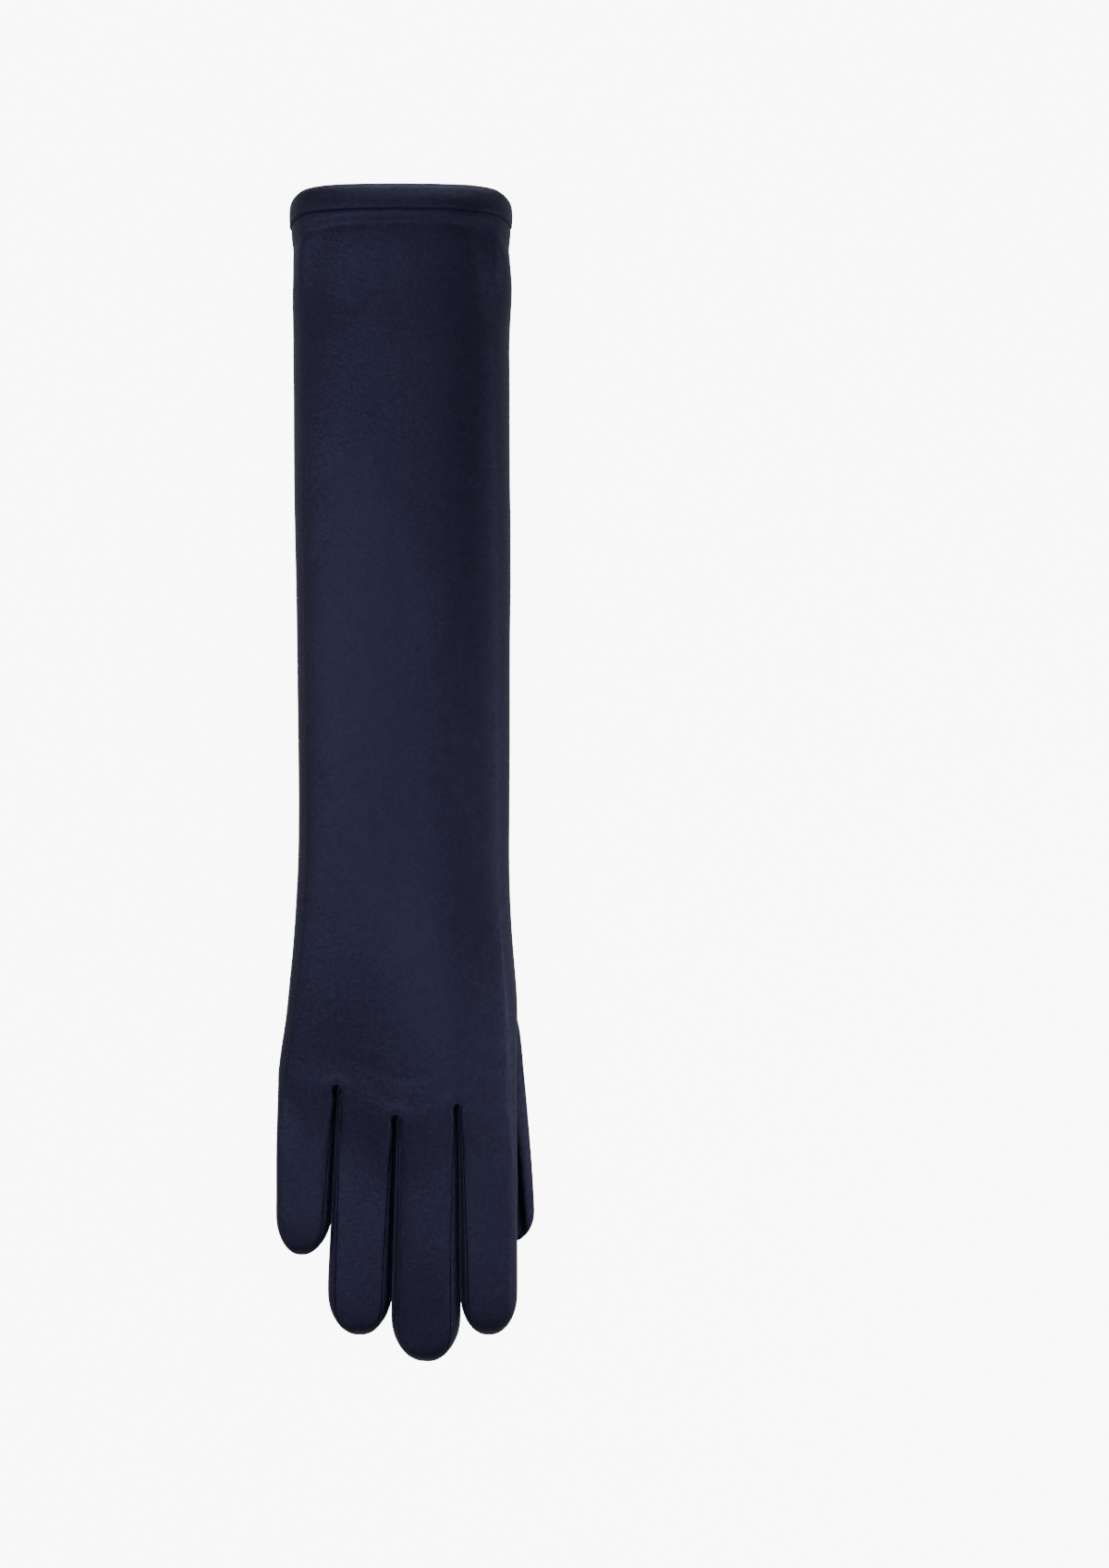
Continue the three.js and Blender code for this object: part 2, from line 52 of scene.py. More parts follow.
# Lengths of the pattern, as in the frame's solids.
SLEEVE_LENGTH = 347.5
FINGER_LENGTH = 94.1
TIP_LENGTH = 16
THUMB_LENGTH = 100
THUMB_REACH = 50.9
THUMB_TIP_LENGTH = 12
HEM_WIDTH = 81.3
WRIST_WIDTH = 79.7
HAND_WIDTH = 91
THUMB_WIDTH = 25.5
SLEEVE_HEIGHT = 38
WRIST_HEIGHT = 29
HAND_HEIGHT = 20.5
FINGER_HEIGHT = 17.2
THUMB_HEIGHT = 10.6
WALL = 1.4
SEAM_GAP = 0.3
FINGER_GAP = 0.45
SLIT_FOOT = 0.75  # how far a finger's side reaches over the gap, low in the slit
STRIP_TURN = 3.1
THUMB_CLEARANCE = 0.9
HEM_DEPTH = 10.2
HEM_TURN_IN = 14.5
HEM_WALL = 1.2
HEM_EASE = 1.5 * SEAM_GAP
HEM_ARCH = 4.6
FLAP_EDGE = 15.2
LEDGE = 0.85
HEM_TUCK = 3.2
SIDE_TUCK = 0.3
TUCK_LENGTH = 9
FLOOR_PRESS = 0.6

# Sections of the sleeve: share of its length, width, shift sideways and height.
SLEEVE = [
    (0.0, HAND_WIDTH, -2.85, HAND_HEIGHT),
    (0.06, 0.98 * HAND_WIDTH, -1.9, 1.08 * HAND_HEIGHT),
    (0.12, 0.957 * HAND_WIDTH, -0.95, 1.18 * HAND_HEIGHT),
    (0.18, 1.047 * WRIST_WIDTH, -0.65, 0.91 * WRIST_HEIGHT),
    (0.24, 1.014 * WRIST_WIDTH, -0.4, 0.96 * WRIST_HEIGHT),
    (0.3, WRIST_WIDTH, -0.2, WRIST_HEIGHT),
    (0.45, 0.99 * HEM_WIDTH, -0.3, 0.84 * SLEEVE_HEIGHT),
    (0.6, 0.995 * HEM_WIDTH, -0.45, 0.91 * SLEEVE_HEIGHT),
    (0.75, HEM_WIDTH, -0.9, 0.96 * SLEEVE_HEIGHT),
    (0.9, 1.002 * HEM_WIDTH, -1.1, SLEEVE_HEIGHT),
    (1.0, HEM_WIDTH, -1.15, SLEEVE_HEIGHT),
]
WIDTH, SHIFT, HEIGHT = 1, 2, 3

# Edges of the fingers: place at the root and at the tip in hand widths, and the fork's height
# in finger lengths.
EDGES = [
    (-0.503, -0.513, 0.145),
    (-0.247, -0.293, 0.114),
    (0.003, -0.025, 0.0),
    (0.259, 0.264, 0.05),
    (0.502, 0.504, 0.05),
]

# Fingers: name, reach in finger lengths and height in finger heights.
FINGERS = [
    ("little", 0.588, 0.92),
    ("ring", 0.904, 0.98),
    ("middle", 1.0, 1.03),
    ("index", 0.892, 1.0),
]

# Thumb sections: share of the way to its tip, outer side in hand widths, width in thumb widths,
# height and lowest level in thumb heights.
THUMB = [
    (0.0, 0.438, 1.2, 0.94, 0.36),
    (0.17, 0.503, 1.2, 1.0, 0.0),
    (0.4, 0.529, 1.08, 1.0, 0.0),
    (0.63, 0.549, 0.98, 1.0, 0.0),
    (0.86, 0.566, 0.91, 0.97, 0.0),
    (1.0, 0.573, 0.84, 0.93, 0.0),
]
RIGHT, THUMB_W, THUMB_H, BASE = 1, 2, 3, 4

BACK_ROUNDNESS = 2.5
FINGER_ROUNDNESS = 4.8
PALM_ROUNDNESS = 3.2
FORK_ROUNDNESS = 7
TIP_ROUNDNESS = 3.4
THUMB_SLANT = 1.7  # roundness of the thumb's upper outer quarter
LOW_SHARE = 0.42  # the level of the greatest width, as a share of the height
CORNER_INSET = 4
WIDEST = 0.995  # a side starts no further out than this share of the half width

# Millimetres past its root over which a finger takes its own section, at a slit and elsewhere.
FORK_SPREAD = 3.2
BACK_SPREAD = 34

# How finely the pieces are divided before they are smoothed.
FINGER_COLUMNS = 10
COLUMN_CROWDING = 0.7  # how much closer the columns are beside a slit
SIDE_COLUMNS = 6
THUMB_COLUMNS = 40
HEM_ROWS = [4, 7, 8.8, 9.6, 10.1, 10.5, 10.9, 11.5, 12.3, 13.1, 13.9, 14.7, 15.5, 16.4]
HEM_ROWS += [17.5, 19, 21, 23.5, 26.5, 30, 34, 38.5]
EVEN_START, EVEN_STEP, EVEN_ROWS = 0.872, 0.0213, 39
SLEEVE_ROWS = (
    [1 - down / SLEEVE_LENGTH for down in HEM_ROWS]
    + [EVEN_START - EVEN_STEP * i for i in range(EVEN_ROWS)]
    + [0.036, 0.026, 0.018, 0.012, 0.0075, 0.004, 0.0018, 0.0]
)
FINGER_ROWS = [0.005, 0.011, 0.019, 0.029, 0.042, 0.06, 0.085, 0.12, 0.17, 0.24, 0.32, 0.41]
FINGER_ROWS += [0.51, 0.61, 0.71, 0.81, 0.91, 1]
TIP_ROWS = [11, 23, 34, 45, 55, 65, 74, 82]  # degrees round the fingertip
STRIP_END = 6  # rows of the fingertip that the strips still reach
THUMB_ROWS = [0.02, 0.05, 0.1, 0.16, 0.23, 0.3, 0.38, 0.46, 0.54, 0.62, 0.7, 0.78, 0.86, 0.93, 1.0]
THUMB_TIP_ROWS = range(9, 82, 9)
TIP_DRAW = 0.9  # how far the last loop is drawn in before it closes

# Seams and small relief, in millimetres.
SEAM_TURN = 0.38
SEAM_SINK = 0.12
EYE_WIDTH = 2.3
EYE_LENGTH = 4.6
EYE_DEPTH = (0.1, 0.6)  # down the side, from open to closed
EYE_RIM, EYE_RIM_AWAY, EYE_RIM_WIDTH = 0.35, 3.4, 1.4
EYE_SHIFT = 1.2
SLEEVE_PLUMP, HAND_PLUMP = 0.4, 0.15  # make up for what smoothing takes off the outline
PLUMPED = (10, 55)

# The hand's lift over the thumb, from none to all: across in hand widths, along the palm and the
# back in thumb lengths, and up in hand heights. Past the thumb it droops again.
LEAN_ACROSS = (-0.27, 0.25)
LEAN_PALM = (0.12, 0.54)
LEAN_BACK = (-0.1, 1.15)
LEAN_UP = (0.1, 1.0)
DROOP, DROOP_START, DROOP_LENGTH = 0.35, 3, 40

# How the fingers change along their length, in finger lengths past the deepest fork.
EDGE_RUN = 0.8
ROOTED = (-0.1, 0.3)
GROWN = (-0.1, 0.75)
ROOT_TURN = 1.3  # millimetres that a strip's edge lies in at the root
TIP_TURN_SHARE = 0.45  # the part of it that is left at the tip
LOW_SIDE = (0.45, 0.7)  # where the slit's foot starts and is full, down a finger's side

# How the sleeve changes along its length, in sleeve lengths from the forks.
NEAR_ROOT = 0.012
EVENED, SLEEVE_CROWDING = (0.05, 0.4), 0.4
FORK_FADE, FORK_DEPTH = (0, 0.12), 1.5
ARCH_RISE = (0.8, 0.95)
ARCH_SIDE, ARCH_RIGHT = (0.6, 1), 0.8  # the arch of the hem is lower towards the thumb's side
HEM_LIFT_START = 0.87
HEM_ZONE = 0.97 * SLEEVE_LENGTH

# Powers of a share across the back or palm: a high one acts only close to the edge.
CORNER_POWER = 5
SLIT_POWER = 14
EYE_POWER = 8
CUFF_POWER = 4
ARCH_POWER = 4
TUCK_POWER = 3

# The ledge just below the band, in millimetres from the open end. At the sides it ends lower
# and stands out less.
SIDE_LOWERED, SIDE_LEDGE = 3, 0.65
DENT, DENT_PLACE, DENT_WIDTH = 0.2, 0.4, 1.3
LIP, LIP_SHARE = (8.9, 9.7), 0.4
STEP = (9.9, 10.6)
LEDGE_TOP = 11.6

# The band's section: depth below its face and distance from the fold, the fold's angles, and
# the rows of the turned-in part.
HEM_LIP = [(1.0, 9.9), (0.85, 10.25), (0.6, 10.3), (0.35, 10.0), (0.25, 9.3), (0.2, 8.3)]
HEM_LIP += [(0, 7), (-0.05, 5.6), (-0.05, 4.3), (0, 3.2)]
HEM_FOLD_TURNS = (0, 25, 50, 75, 100, 125, 150, 180)
HEM_INNER_ROWS = (5, 9, HEM_TURN_IN)
RIPPLE, RIPPLE_SIZE = 0.12, (7, 9, 7)

# The thumb's seam on its upper side, and how the cloth falls off left of it.
THUMB_SEAM = ((42.8, -7), (47, -46))
GROOVE, GROOVE_WIDTH, GROOVE_START = 0.35, 0.7, (0, 0.15)
THUMB_FALL, FALL_ACROSS, FALL_ALONG = 3.4, (0.2, 2.6), (-0.3, 0.3)
THUMB_FULLNESS = 0.8
THUMB_HIDDEN = 0.62  # the longest part of the thumb that the palm can hide
HALVINGS = 24  # steps in which the place where it leaves the palm is found


def mix(a, b, t):
    return a + (b - a) * t


def clamp(value, low, high):
    return max(low, min(high, value))


def ease(value, low, high):
    t = clamp((value - low) / (high - low), 0, 1)
    return t * t * (3 - 2 * t)


def eased(value, span, unit=1):
    """Ease over a named span, in a unit of length."""
    return ease(value, span[0] * unit, span[1] * unit)


def bell(value, width):
    return math.exp(-((value / width) ** 2))


def read(table, at, column):
    """A column of a table at a place between its rows, on a smooth curve through them."""
    place = clamp(at, table[0][0], table[-1][0])
    k = next(i for i in range(1, len(table)) if table[i][0] >= place)

    def slope(i):
        a, b = table[max(i - 1, 0)], table[min(i + 1, len(table) - 1)]
        return (b[column] - a[column]) / (b[0] - a[0])

    a, b = table[k - 1], table[k]
    span = b[0] - a[0]
    t = (place - a[0]) / span
    value = (2 * t**3 - 3 * t**2 + 1) * a[column] + (3 * t**2 - 2 * t**3) * b[column]
    return value + span * ((t**3 - 2 * t**2 + t) * slope(k - 1) + (t**3 - t**2) * slope(k))


# The glove's form.


def lean(x, y, z):
    """How much the hand is lifted where it lies over the thumb."""
    across = eased(x, LEAN_ACROSS, HAND_WIDTH)
    past = THUMB_REACH + DROOP_START
    palm = 1 - eased(y, LEAN_PALM, THUMB_LENGTH)
    back = 1 - eased(y, LEAN_BACK, THUMB_LENGTH)
    along = mix(palm, back, eased(z, LEAN_UP, HAND_HEIGHT))
    droop = 1 - DROOP * ease(-y, past, past + DROOP_LENGTH)
    return (THUMB_HEIGHT + THUMB_CLEARANCE) * across * along * droop


def leaned(x, y, z):
    return Vector((x, y, z + lean(x, y, z)))


class Section:
    """A rounded outline across the glove, pressed flat below."""

    def __init__(self, middle, half, height, roundness, inset, wall=0.0, turned=0.0):
        shrink = math.cos(turned)
        full = max(1 - math.sin(turned) ** TIP_ROUNDNESS, 0) ** (1 / TIP_ROUNDNESS)
        self.level = LOW_SHARE * height
        self.middle = middle
        self.half = (half - wall) * shrink
        self.rise = (height - self.level - wall) * full
        self.drop = (self.level - wall) * shrink
        self.press = FLOOR_PRESS * shrink
        self.roundness = roundness
        self.inset = inset * shrink
        self.wall = wall * shrink

    def up(self, u):
        return self.level + self.rise * max(1 - abs(u) ** self.roundness, 0) ** (1 / self.roundness)

    def down(self, u):
        low = max(1 - abs(u) ** PALM_ROUNDNESS, 0) ** (1 / PALM_ROUNDNESS)
        return max(self.level - (self.drop + self.press) * low, self.level - self.drop)

    def at(self, part, share):
        """A place on the back or palm at a share from the middle, or down a side from its top."""
        if part in ("back", "palm"):
            reach = share * (self.half + self.wall - self.inset) - self.wall * share**CORNER_POWER
            surface = self.up if part == "back" else self.down
            return self.middle + reach, surface(reach / self.half)
        side = 1 if part == "right" else -1
        inner = min(1 - self.inset / self.half, WIDEST)
        start = math.acos(inner ** (self.roundness / 2))
        end = math.acos(inner ** (PALM_ROUNDNESS / 2))
        angle = mix(start, -end, share)
        u = abs(math.cos(angle)) ** (2 / (self.roundness if angle > 0 else PALM_ROUNDNESS))
        return self.middle + side * self.half * u, self.up(u) if angle > 0 else self.down(u)


def sleeve_section(at, wall):
    half = read(SLEEVE, at, WIDTH) / 2
    height = read(SLEEVE, at, HEIGHT)
    return Section(read(SLEEVE, at, SHIFT), half, height, BACK_ROUNDNESS, CORNER_INSET, wall)


def edge_at(k, y):
    root, tip, fork = EDGES[k]
    gone = clamp((fork * FINGER_LENGTH - y) / (EDGE_RUN * FINGER_LENGTH), 0, 1)
    return SLEEVE[0][SHIFT] + HAND_WIDTH * mix(root, tip, gone)


def finger_section(j, y, turned, wall):
    left = edge_at(j, y) + (FINGER_GAP / 2 if j > 0 else 0)
    right = edge_at(j + 1, y) - (FINGER_GAP / 2 if j < 3 else 0)
    rooted = eased(-y, ROOTED, FINGER_LENGTH)
    grown = eased(-y, GROWN, FINGER_LENGTH)
    inset = mix(ROOT_TURN, STRIP_TURN, grown) * mix(1, TIP_TURN_SHARE, turned / (math.pi / 2))
    roundness = mix(FORK_ROUNDNESS, FINGER_ROUNDNESS, rooted)
    height = FINGERS[j][2] * FINGER_HEIGHT
    middle = (left + right) / 2
    return Section(middle, (right - left) / 2, height, roundness, inset, wall, turned)


def column_share(u):
    return clamp(u / (1 - CORNER_INSET / (HAND_WIDTH / 2)), -1, 1)


def crowded(j, t):
    """A share across finger j, with the columns brought closer together beside its slits."""
    if j == 0:
        close = math.sin(math.pi * t / 2)
    elif j == 3:
        close = 1 - math.cos(math.pi * t / 2)
    else:
        close = (1 - math.cos(math.pi * t)) / 2
    return mix(t, close, COLUMN_CROWDING)


def across_hand(j, share):
    """A share across finger j as a share across the whole back or palm."""
    return column_share(2 * mix(EDGES[j][0], EDGES[j + 1][0], share))


def hand_column(c, at=0.0):
    """Column c of the glove: over its finger on the hand, closer to the sides on the sleeve."""
    j = min(c // FINGER_COLUMNS, 3)
    even = c / (2 * FINGER_COLUMNS) - 1
    sideways = mix(even, math.sin(math.pi * even / 2), SLEEVE_CROWDING)
    return mix(across_hand(j, crowded(j, c / FINGER_COLUMNS - j)), sideways, eased(at, EVENED))


FORK_CURVE = [(2 * root, fork * FINGER_LENGTH) for root, _, fork in EDGES]


def sleeve_point(at, part, share, wall=0.0):
    section = sleeve_section(at, wall)
    x, z = section.at(part, share)
    u = clamp((x - section.middle) / section.half, -1, 1)
    forks = (read(FORK_CURVE, u, 1) + FORK_DEPTH * wall) * (1 - eased(at, FORK_FADE))
    high = (z - section.level) / (section.rise if z > section.level else -section.drop)
    arch = HEM_ARCH * mix(1, ARCH_RIGHT, eased(u, ARCH_SIDE))
    arch *= (1 - clamp(high, 0, 1) ** 2) ** ARCH_POWER
    arch *= eased(at, ARCH_RISE)
    lift = (HEM_EASE + HEM_WALL) * ease(at, HEM_LIFT_START, 1 - HEM_DEPTH / SLEEVE_LENGTH)
    tuck = clamp(1 - (1 - at) * SLEEVE_LENGTH / TUCK_LENGTH, 0, 1) ** 2
    lowered = HEM_TUCK * tuck * high if z > section.level else 0
    inward = SIDE_TUCK * tuck * u**TUCK_POWER
    return x - inward, at * SLEEVE_LENGTH + forks - arch, z + lift - lowered


def cuff_rise(at, part, share):
    """How far the sleeve stands out below the band, where the band's inner flap lies behind it."""
    down = (1 - at) * SLEEVE_LENGTH
    side = abs(share) ** CUFF_POWER if part in ("back", "palm") else 1.0
    edge = FLAP_EDGE + SIDE_LOWERED * side
    full = mix(LEDGE, SIDE_LEDGE * LEDGE, side)
    dent = DENT * bell(down - edge - DENT_PLACE, DENT_WIDTH)
    rise = LIP_SHARE * eased(down, LIP) + (1 - LIP_SHARE) * eased(down, STEP)
    return full * rise * (1 - ease(down, LEDGE_TOP, edge)) - dent


def fork_point(k, share):
    u = column_share(2 * EDGES[k][0])
    top = sleeve_point(0, "back", u)
    low = sleeve_point(0, "palm", u)
    return edge_at(k, top[1]), top[1], mix(top[2], low[2], share)


def finger_point(j, row, part, share):
    """Row is a share of the way to the tip's rounding, or past 1 the degrees round the tip."""
    forked = {"left": j > 0, "right": j < 3}
    spread, slope = BACK_SPREAD, 0.0
    if forked.get(part):
        root = fork_point(j if part == "left" else j + 1, share)
        spread = FORK_SPREAD
    elif part in forked:
        root = sleeve_point(0, part, share)
    else:
        over = across_hand(j, (share + 1) / 2)
        root, before = sleeve_point(0, part, over), sleeve_point(NEAR_ROOT, part, over)
        slope = (before[2] - root[2]) / (before[1] - root[1])
        if forked["left" if share < 0 else "right"]:
            spread = mix(BACK_SPREAD, FORK_SPREAD, share**SLIT_POWER)
    start = -FINGERS[j][1] * FINGER_LENGTH + TIP_LENGTH
    turned = 0.0
    y = mix(root[1], start, min(row, 1))
    if row > 1:
        turned = math.radians(row)
        y = start - TIP_LENGTH * math.sin(turned)
    x, z = finger_section(j, y, turned, 0).at(part, share)
    if forked.get(part):
        foot = SLIT_FOOT if part == "right" else -SLIT_FOOT
        x += foot * eased(share, LOW_SIDE) * math.cos(turned)
    own = ease(root[1] - y, 0, spread)
    aside = eye_side(part, share, forked, root[1] - y)
    return mix(root[0], x, own) + aside, y, mix(root[2] + slope * (y - root[1]), z, own)


def eye_side(part, share, forked, past):
    """How far a finger's side stands back, at a length past the fork, to leave the fork's eye."""
    width = EYE_WIDTH / 2 * math.sin(math.pi * math.sqrt(clamp(past / EYE_LENGTH, 0, 1)))
    if part == "palm":
        return 0.0
    side = part if part != "back" else ("left" if share < 0 else "right")
    if not forked[side]:
        return 0.0
    near = abs(share) ** EYE_POWER if part == "back" else 1 - eased(share, EYE_DEPTH)
    return (width if side == "left" else -width) * near


# Mesh tools.


def places_round(columns, share_of):
    """The places round a loop: along the back, down the right, along the palm, up the left."""
    back = [("back", share_of(c), c) for c in range(columns + 1)]
    palm = [("palm", share, c) for _, share, c in reversed(back)]
    sides = [(s + 1) / SIDE_COLUMNS for s in range(SIDE_COLUMNS - 1)]
    right = [("right", share, None) for share in sides]
    left = [("left", share, None) for share in reversed(sides)]
    return back + right + palm + left


def circle_loop(bm, count):
    """A ring of vertices in order."""
    ring = bmesh.ops.create_circle(bm, cap_ends=False, radius=1, segments=count)["verts"]
    order = [ring[0], ring[0].link_edges[0].other_vert(ring[0])]
    while len(order) < count:
        order.append(next(e.other_vert(order[-1]) for e in order[-1].link_edges
                          if e.other_vert(order[-1]) is not order[-2]))
    return order


def extrude_loop(bm, loop, points, mark=None):
    """Draws a loop of edges out to new places, lays its UV, and marks the new faces."""
    pairs = list(zip(loop, loop[1:] + loop[:1]))
    edges = [next(e for e in a.link_edges if e.other_vert(a) is b) for a, b in pairs]
    made = bmesh.ops.extrude_edge_only(bm, edges=edges)["geom"]
    fresh = {g for g in made if isinstance(g, bmesh.types.BMVert)}
    drawn = [next(e.other_vert(v) for e in v.link_edges if e.other_vert(v) in fresh) for v in loop]
    for vert, point in zip(drawn, points):
        vert.co = point
    uv = bm.loops.layers.uv.verify()
    piece = bm.faces.layers.int["piece"]
    girth = [0.0]
    for a, b in zip(drawn, drawn[1:] + drawn[:1]):
        girth.append(girth[-1] + (a.co - b.co).length)
    for i, (a, b) in enumerate(pairs):
        c, d = drawn[i], drawn[(i + 1) % len(drawn)]
        face = next(f for f in c.link_faces if a in f.verts and b in f.verts and d in f.verts)
        if mark:
            face[piece] = mark(i)
        for corner in face.loops:
            right = corner.vert in (b, d)
            corner[uv].uv = (girth[i + 1] if right else girth[i], corner.vert.co.y)
    return drawn


def close_tip(bm, loop, tip):
    """Draws the last loop in round the tip and closes it there."""
    loop = extrude_loop(bm, loop, [mix(v.co, tip, TIP_DRAW) for v in loop])
    bmesh.ops.pointmerge(bm, verts=loop, merge_co=tip)


def new_bmesh():
    bm = bmesh.new()
    bm.faces.layers.int.new("piece")
    bm.loops.layers.uv.new("cloth")
    return bm


def keep_piece(bm, number):
    """A copy of the mesh with only the faces of one piece."""
    part = bm.copy()
    piece = part.faces.layers.int["piece"]
    others = [f for f in part.faces if f[piece] != number]
    bmesh.ops.delete(part, geom=others, context="FACES")
    return part


def face_outward(bm):
    bmesh.ops.recalc_face_normals(bm, faces=bm.faces[:])
    bm.normal_update()


def turn_edges(bm, width, sink, only=lambda point: True):
    """Turns a cloth's open edges under, so that a seam shows as a soft groove."""
    bmesh.ops.inset_region(bm, faces=bm.faces[:], use_boundary=True, use_even_offset=True,
                           use_interpolate=True, thickness=width, depth=0)
    face_outward(bm)
    rim = {v for e in bm.edges if e.is_boundary for v in e.verts if only(v.co)}
    for v in rim:
        v.co -= v.normal * sink


def finished(name, bm, material, node, wall):
    """Makes the piece an object in the frame's place, with its cloth's thickness."""
    face_outward(bm)
    place = Matrix.Scale(MM, 4) @ Matrix.Translation(offset)
    bmesh.ops.transform(bm, matrix=place, verts=bm.verts[:])
    uv = bm.loops.layers.uv.verify()
    for face in bm.faces:
        face.smooth = True
        for corner in face.loops:
            corner[uv].uv *= MM
    mesh = bpy.data.meshes.new(name)
    bm.to_mesh(mesh)
    bm.free()
    mesh.materials.append(material)
    piece = bpy.data.objects.new(name, mesh)
    bpy.context.scene.collection.objects.link(piece)
    solid = piece.modifiers.new("cloth thickness", "SOLIDIFY")
    solid.thickness = wall * MM
    solid.offset = -1
    solid.use_rim = True
    smooth = piece.modifiers.new("smooth cloth", "SUBSURF")
    smooth.levels = smooth.render_levels = 1
    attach(piece, "root")
    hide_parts(node)
    return piece


# The cloth's small relief.

FORKS = [fork_point(k, 0) for k in (1, 2, 3)]

# Ridges below the band: place across at the band and at the lower end, both lengths, and height.
SIDE_FOLDS = [(33.9, 39.6, 330, 308, 1.2), (-36.0, -39.4, 328, 306, 0.8)]
FOLD_IN, FOLD_OUT, FOLD_BEND = (-0.3, 0.25), (0.7, 1.8), 0.7
RIDGE_WIDTH = 2.2
HOLLOW, HOLLOW_AWAY, HOLLOW_WIDTH = 0.8, 6, 4.5

# Waves of the stuffed cloth: size along X, Y and Z, place in the noise, and height.
BROAD_WAVE = ((26, 44, 26), (3.1, 7.7, 1.3), 0.42)
FINE_WAVE = ((9, 13, 9), (9.4, 2.2, 5.8), 0.12)
FREE_OF_FLOOR = (0.2, 5)
HIGHEST_FORK = 14
CLEAR_OF_SLIT = (2, 9)


def wave(point, size, start=(0, 0, 0), height=1):
    """Seeded noise of the cloth, at a place in the pattern."""
    x, y, z = (c / length for c, length in zip(point, size))
    return height * noise.noise(Vector((x, y, z)) + Vector(start))


def folds(point):
    """The soft ridge down each side of the sleeve below the band, with a hollow beside it."""
    raised = 0.0
    for x0, x1, y0, y1, height in SIDE_FOLDS:
        t = (y0 - point.y) / (y0 - y1)
        if FOLD_IN[0] < t < FOLD_OUT[1]:
            side = math.copysign(1, x0)
            away = (point.x - mix(x0, x1, clamp(t, 0, 1) ** FOLD_BEND)) * side
            shown = eased(t, FOLD_IN) * (1 - eased(t, FOLD_OUT))
            ridge = bell(away, RIDGE_WIDTH) - HOLLOW * bell(away + HOLLOW_AWAY, HOLLOW_WIDTH)
            raised += height * shown * ridge
    return raised


def relief(point, normal):
    """Soft waves of the stuffed cloth, and the puckered eye at each fork."""
    free = eased(point.z - lean(point.x, point.y, 0), FREE_OF_FLOOR)
    plump = mix(HAND_PLUMP, SLEEVE_PLUMP, eased(point.y, PLUMPED))
    slit = min(abs(point.x - edge_at(k, point.y)) for k in (1, 2, 3))
    beside = eased(slit, CLEAR_OF_SLIT) if point.y < HIGHEST_FORK else 1
    swell = (wave(point, *BROAD_WAVE) + wave(point, *FINE_WAVE)) * beside
    moved = normal * (plump + swell + folds(point)) * free
    if normal.z > 0.5:
        for x, y, _ in FORKS:
            away = math.hypot(point.x - x, point.y - y + EYE_SHIFT)
            moved.z += EYE_RIM * bell(away - EYE_RIM_AWAY, EYE_RIM_WIDTH)
    return moved


def add_relief(bm):
    face_outward(bm)
    moves = [relief(v.co, v.normal) for v in bm.verts]
    for v, move in zip(bm.verts, moves):
        v.co += move


# The pieces.


def glove_skin():
    """One net for the body cloth and side strips. Faces are marked 0, or the fork's 1 to 3."""
    bm = new_bmesh()
    top = 1 - (HEM_EASE + (WALL + 2 * HEM_EASE + 2 * HEM_WALL) / 2) / SLEEVE_LENGTH
    places = places_round(4 * FINGER_COLUMNS, lambda c: hand_column(c, top))
    loop = circle_loop(bm, len(places))
    for vert, (part, share, _) in zip(loop, places):
        vert.co = leaned(*sleeve_point(top, part, share))
    for at in SLEEVE_ROWS:
        places = places_round(4 * FINGER_COLUMNS, lambda c: hand_column(c, at))
        points = [leaned(*sleeve_point(at, part, share, -cuff_rise(at, part, share)))
                  for part, share, _ in places]
        loop = extrude_loop(bm, loop, points)

    back = {c: v for v, (part, _, c) in zip(loop, places) if part == "back"}
    palm = {c: v for v, (part, _, c) in zip(loop, places) if part == "palm"}
    right = [v for v, (part, _, _) in zip(loop, places) if part == "right"]
    left = [v for v, (part, _, _) in zip(loop, places) if part == "left"]
    webs = {}
    for k in (1, 2, 3):
        over, under = back[k * FINGER_COLUMNS], palm[k * FINGER_COLUMNS]
        over.co, under.co = leaned(*fork_point(k, 0)), leaned(*fork_point(k, 1))
        webs[k] = []
        for s in range(1, SIDE_COLUMNS):
            last = webs[k][-1] if webs[k] else over
            webs[k] += bmesh.ops.extrude_vert_indiv(bm, verts=[last])["verts"]
            webs[k][-1].co = leaned(*fork_point(k, s / SIDE_COLUMNS))
        bm.edges.new((webs[k][-1], under))

    for j, (_, reach, _) in enumerate(FINGERS):
        first, last = j * FINGER_COLUMNS, (j + 1) * FINGER_COLUMNS
        rounds = places_round(FINGER_COLUMNS, lambda c: 2 * crowded(j, c / FINGER_COLUMNS) - 1)
        across = range(first, last + 1)
        loop = [back[c] for c in across] + (webs[j + 1] if j < 3 else right)
        loop += [palm[c] for c in reversed(across)] + (webs[j][::-1] if j > 0 else left)
        forks = {"right": j + 1 if j < 3 else 0, "left": j}
        rows = FINGER_ROWS + TIP_ROWS
        for r, row in enumerate(rows):

            def strip_of(i, r=r):
                ends = (rounds[i][0], rounds[(i + 1) % len(rounds)][0])
                side = next((e for e in ends if e in forks), None)
                return forks[side] if side and r < len(FINGER_ROWS) + STRIP_END else 0

            points = [leaned(*finger_point(j, row, part, share)) for part, share, _ in rounds]
            loop = extrude_loop(bm, loop, points, strip_of)
        tip_y = -reach * FINGER_LENGTH
        section = finger_section(j, tip_y, 0, 0)
        close_tip(bm, loop, leaned(section.middle, tip_y, section.level))
    add_relief(bm)
    return bm


def palm_height(x, y):
    """How high the palm's cloth lies above the floor."""
    section = sleeve_section(max(y, 0) / SLEEVE_LENGTH, 0)
    u = clamp((x - section.middle) / section.half, -1, 1)
    low = section.down(u)
    return low + lean(x, y, low)


